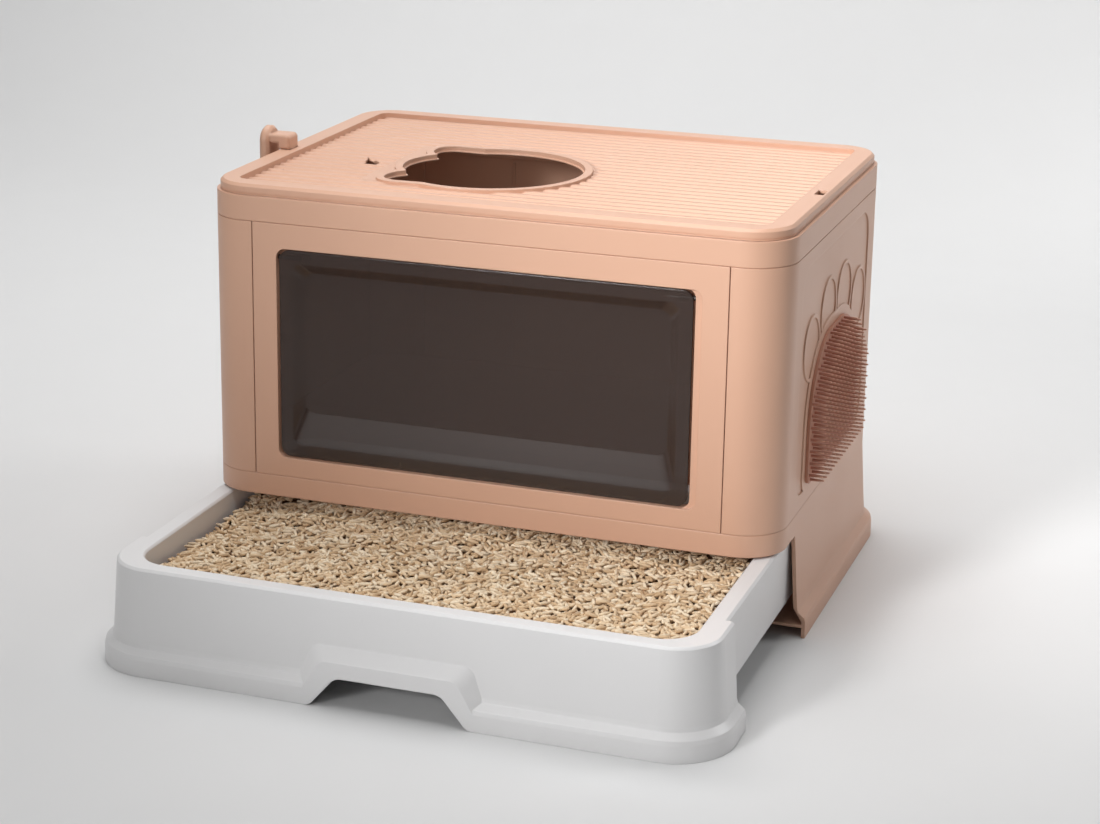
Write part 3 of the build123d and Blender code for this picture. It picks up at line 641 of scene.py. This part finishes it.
def pad_outline(margin):
    """The pad's arch as points across and up, moved in by a margin."""
    points = []
    wide = PAD_WIDTH / 2 - margin
    low, high = pad_low.z + margin, pad_low.z + PAD_HEIGHT - margin
    top, foot = PAD_TOP_RADIUS - margin, max(PAD_BOTTOM_RADIUS - margin, SMALLEST_RADIUS)
    for x, z, radius, begin in ((wide, high, top, 0), (-wide, high, top, 90),
                                (-wide, low, foot, 180), (wide, low, foot, 270)):
        middle_x = x - math.copysign(radius, x)
        middle_z = z - radius if begin < 180 else z + radius
        for step in range(ARC_STEPS + 1):
            angle = math.radians(begin + 90 * step / ARC_STEPS)
            points.append((middle_x + radius * math.cos(angle), middle_z + radius * math.sin(angle)))
    return points


pad_shape = bmesh.new()
pad_points = pad_outline(0.0)
back = [pad_shape.verts.new((pad_face - PAD_THICKNESS, y, z)) for y, z in pad_points]
face = [pad_shape.verts.new((pad_face, y, z)) for y, z in pad_points]
pad_shape.faces.new(face)
pad_shape.faces.new(list(reversed(back)))
for index in range(len(pad_points)):
    after = (index + 1) % len(pad_points)
    pad_shape.faces.new((back[index], back[after], face[after], face[index]))
pad_mesh = bpy.data.meshes.new("brush_pad")
pad_shape.to_mesh(pad_mesh)
pad_shape.free()
pad = plain_piece("brush_pad", pad_mesh)
pad.data.materials.append(soft_rubber)
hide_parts("grooming_brush")
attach(pad, "enclosure")
print("pad of", len(pad_mesh.polygons), "faces")

# %% [markdown]
# ## Bristles
# Rows of soft round bristles stand on the pad in a staggered grid. Every other place of a fine grid is kept
# where it lies within the pad's outline, and a tree sets one bristle on each: a slim cone, with a short and
# steeper one on top for its blunt tip. The roots stand in each other's shade, so the colour is painted shade:
# darker at the roots and paler towards the tips.

# %% Bristles
BRISTLE_STEP_ACROSS = 5.25 * MM
BRISTLE_STEP_UP = 5.2 * MM
BRISTLE_RADIUS = 1.35 * MM
BRISTLE_TIP_RADIUS = 1.15 * MM
BRISTLE_END_SHARE = 0.45
BRISTLE_BLUNT = 0.7 * MM
BRISTLE_MARGIN = 2 * MM
BRISTLE_SIDES = 7
# Painted shade at the roots; the colour pales towards the tips.
BRISTLE_ROOT_SHADE = colour(180, 122, 102)
BRISTLE_TIP = colour(232, 184, 160)
BRISTLE_SHADE_FADE = 3.0
BRISTLE_ROUGHNESS = 0.5

bristle_rubber, bristle_shader, bristle_start = new_material("bristle_rubber")
bristle_spot = bristle_start.node("ShaderNodeTexCoord", output="Object")
bristle_reach = bristle_start.node("ShaderNodeSeparateXYZ", inputs={0: bristle_spot}, output=0)
bristle_reach = (bristle_reach - pad_face) * (1 / (pad_high.x - pad_face))
# Painted shade: the share of tip colour grows from root to tip.
paler = bristle_start.math("POWER", bristle_reach, BRISTLE_SHADE_FADE)
bristle_shade_paint = mixed(bristle_start, paler, BRISTLE_ROOT_SHADE, BRISTLE_TIP)
link(bristle_start.tree, bristle_shade_paint, bristle_shader.inputs["Base Color"])
bristle_shader.inputs["Roughness"].default_value = BRISTLE_ROUGHNESS


def inside(outline, x, y):
    """True where a point lies within an outline."""
    found = False
    for (ax, ay), (bx, by) in zip(outline, outline[1:] + outline[:1]):
        if (ay > y) != (by > y) and x < (bx - ax) * (y - ay) / (by - ay) + ax:
            found = not found
    return found


bristle_outline = pad_outline(BRISTLE_MARGIN)
pad_middle = pad_low.z + PAD_HEIGHT / 2
places = []
columns = int(PAD_WIDTH / BRISTLE_STEP_ACROSS)
rows = int(PAD_HEIGHT / BRISTLE_STEP_UP)
for column in range(-columns, columns + 1):
    for row in range(-rows, rows + 1):
        across = column * BRISTLE_STEP_ACROSS
        upward = pad_middle + row * BRISTLE_STEP_UP
        if (column + row) % 2 == 0 and inside(bristle_outline, across, upward):
            places.append((pad_face, across, upward))


def bristle_tree():
    """Sets a tapered bristle on each point, pointing along +X."""
    tree, sizes, value = size_tree(
        "bristle_rows", "Places", ("Foot radius", "Tip radius", "Length", "Blunt"), "Bristles")
    start = Wire(tree)
    points = start.node("GeometryNodeMeshToPoints", inputs={"Mesh": value["Places"]})
    shaft = value["Length"] - value["Blunt"]
    stem = start.node("GeometryNodeMeshCone", {"fill_type": "NONE"},
                      {"Vertices": BRISTLE_SIDES, "Radius Top": value["Tip radius"],
                       "Radius Bottom": value["Foot radius"], "Depth": shaft})
    tip = start.node("GeometryNodeMeshCone", {"fill_type": "NGON"},
                     {"Vertices": BRISTLE_SIDES, "Radius Top": value["Tip radius"] * BRISTLE_END_SHARE,
                      "Radius Bottom": value["Tip radius"], "Depth": value["Blunt"]})
    tip_place = start.node("ShaderNodeCombineXYZ", inputs={"Z": shaft})
    tip = start.node("GeometryNodeTransform", inputs={"Geometry": tip, "Translation": tip_place})
    join = tree.nodes.new("GeometryNodeJoinGeometry")
    for part in (tip, stem):
        tree.links.new(part.socket, join.inputs["Geometry"])
    stem = start.node("GeometryNodeMergeByDistance", inputs={"Geometry": Wire(tree, join.outputs[0])})
    stem = start.node("GeometryNodeSetShadeSmooth", inputs={0: stem})
    stems = start.node("GeometryNodeInstanceOnPoints", inputs={
        "Points": points, "Instance": stem, "Rotation": (0.0, math.pi / 2, 0.0)})
    stems = start.node("GeometryNodeRealizeInstances", inputs={"Geometry": stems})
    stems = start.node("GeometryNodeSetMaterial", inputs={"Geometry": stems, "Material": bristle_rubber})
    start.node("NodeGroupOutput", inputs={"Bristles": stems})
    return tree, sizes


bristle_mesh = bpy.data.meshes.new("brush_bristles")
bristle_mesh.from_pydata(places, [], [])
bristles = plain_piece("brush_bristles", bristle_mesh)
bristle_rows, bristle_inputs = bristle_tree()
grow(bristles, bristle_rows, bristle_inputs, {
    "Foot radius": BRISTLE_RADIUS, "Tip radius": BRISTLE_TIP_RADIUS,
    "Length": pad_high.x - pad_face, "Blunt": BRISTLE_BLUNT})
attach(bristles, "enclosure")
print(len(places), "bristles")
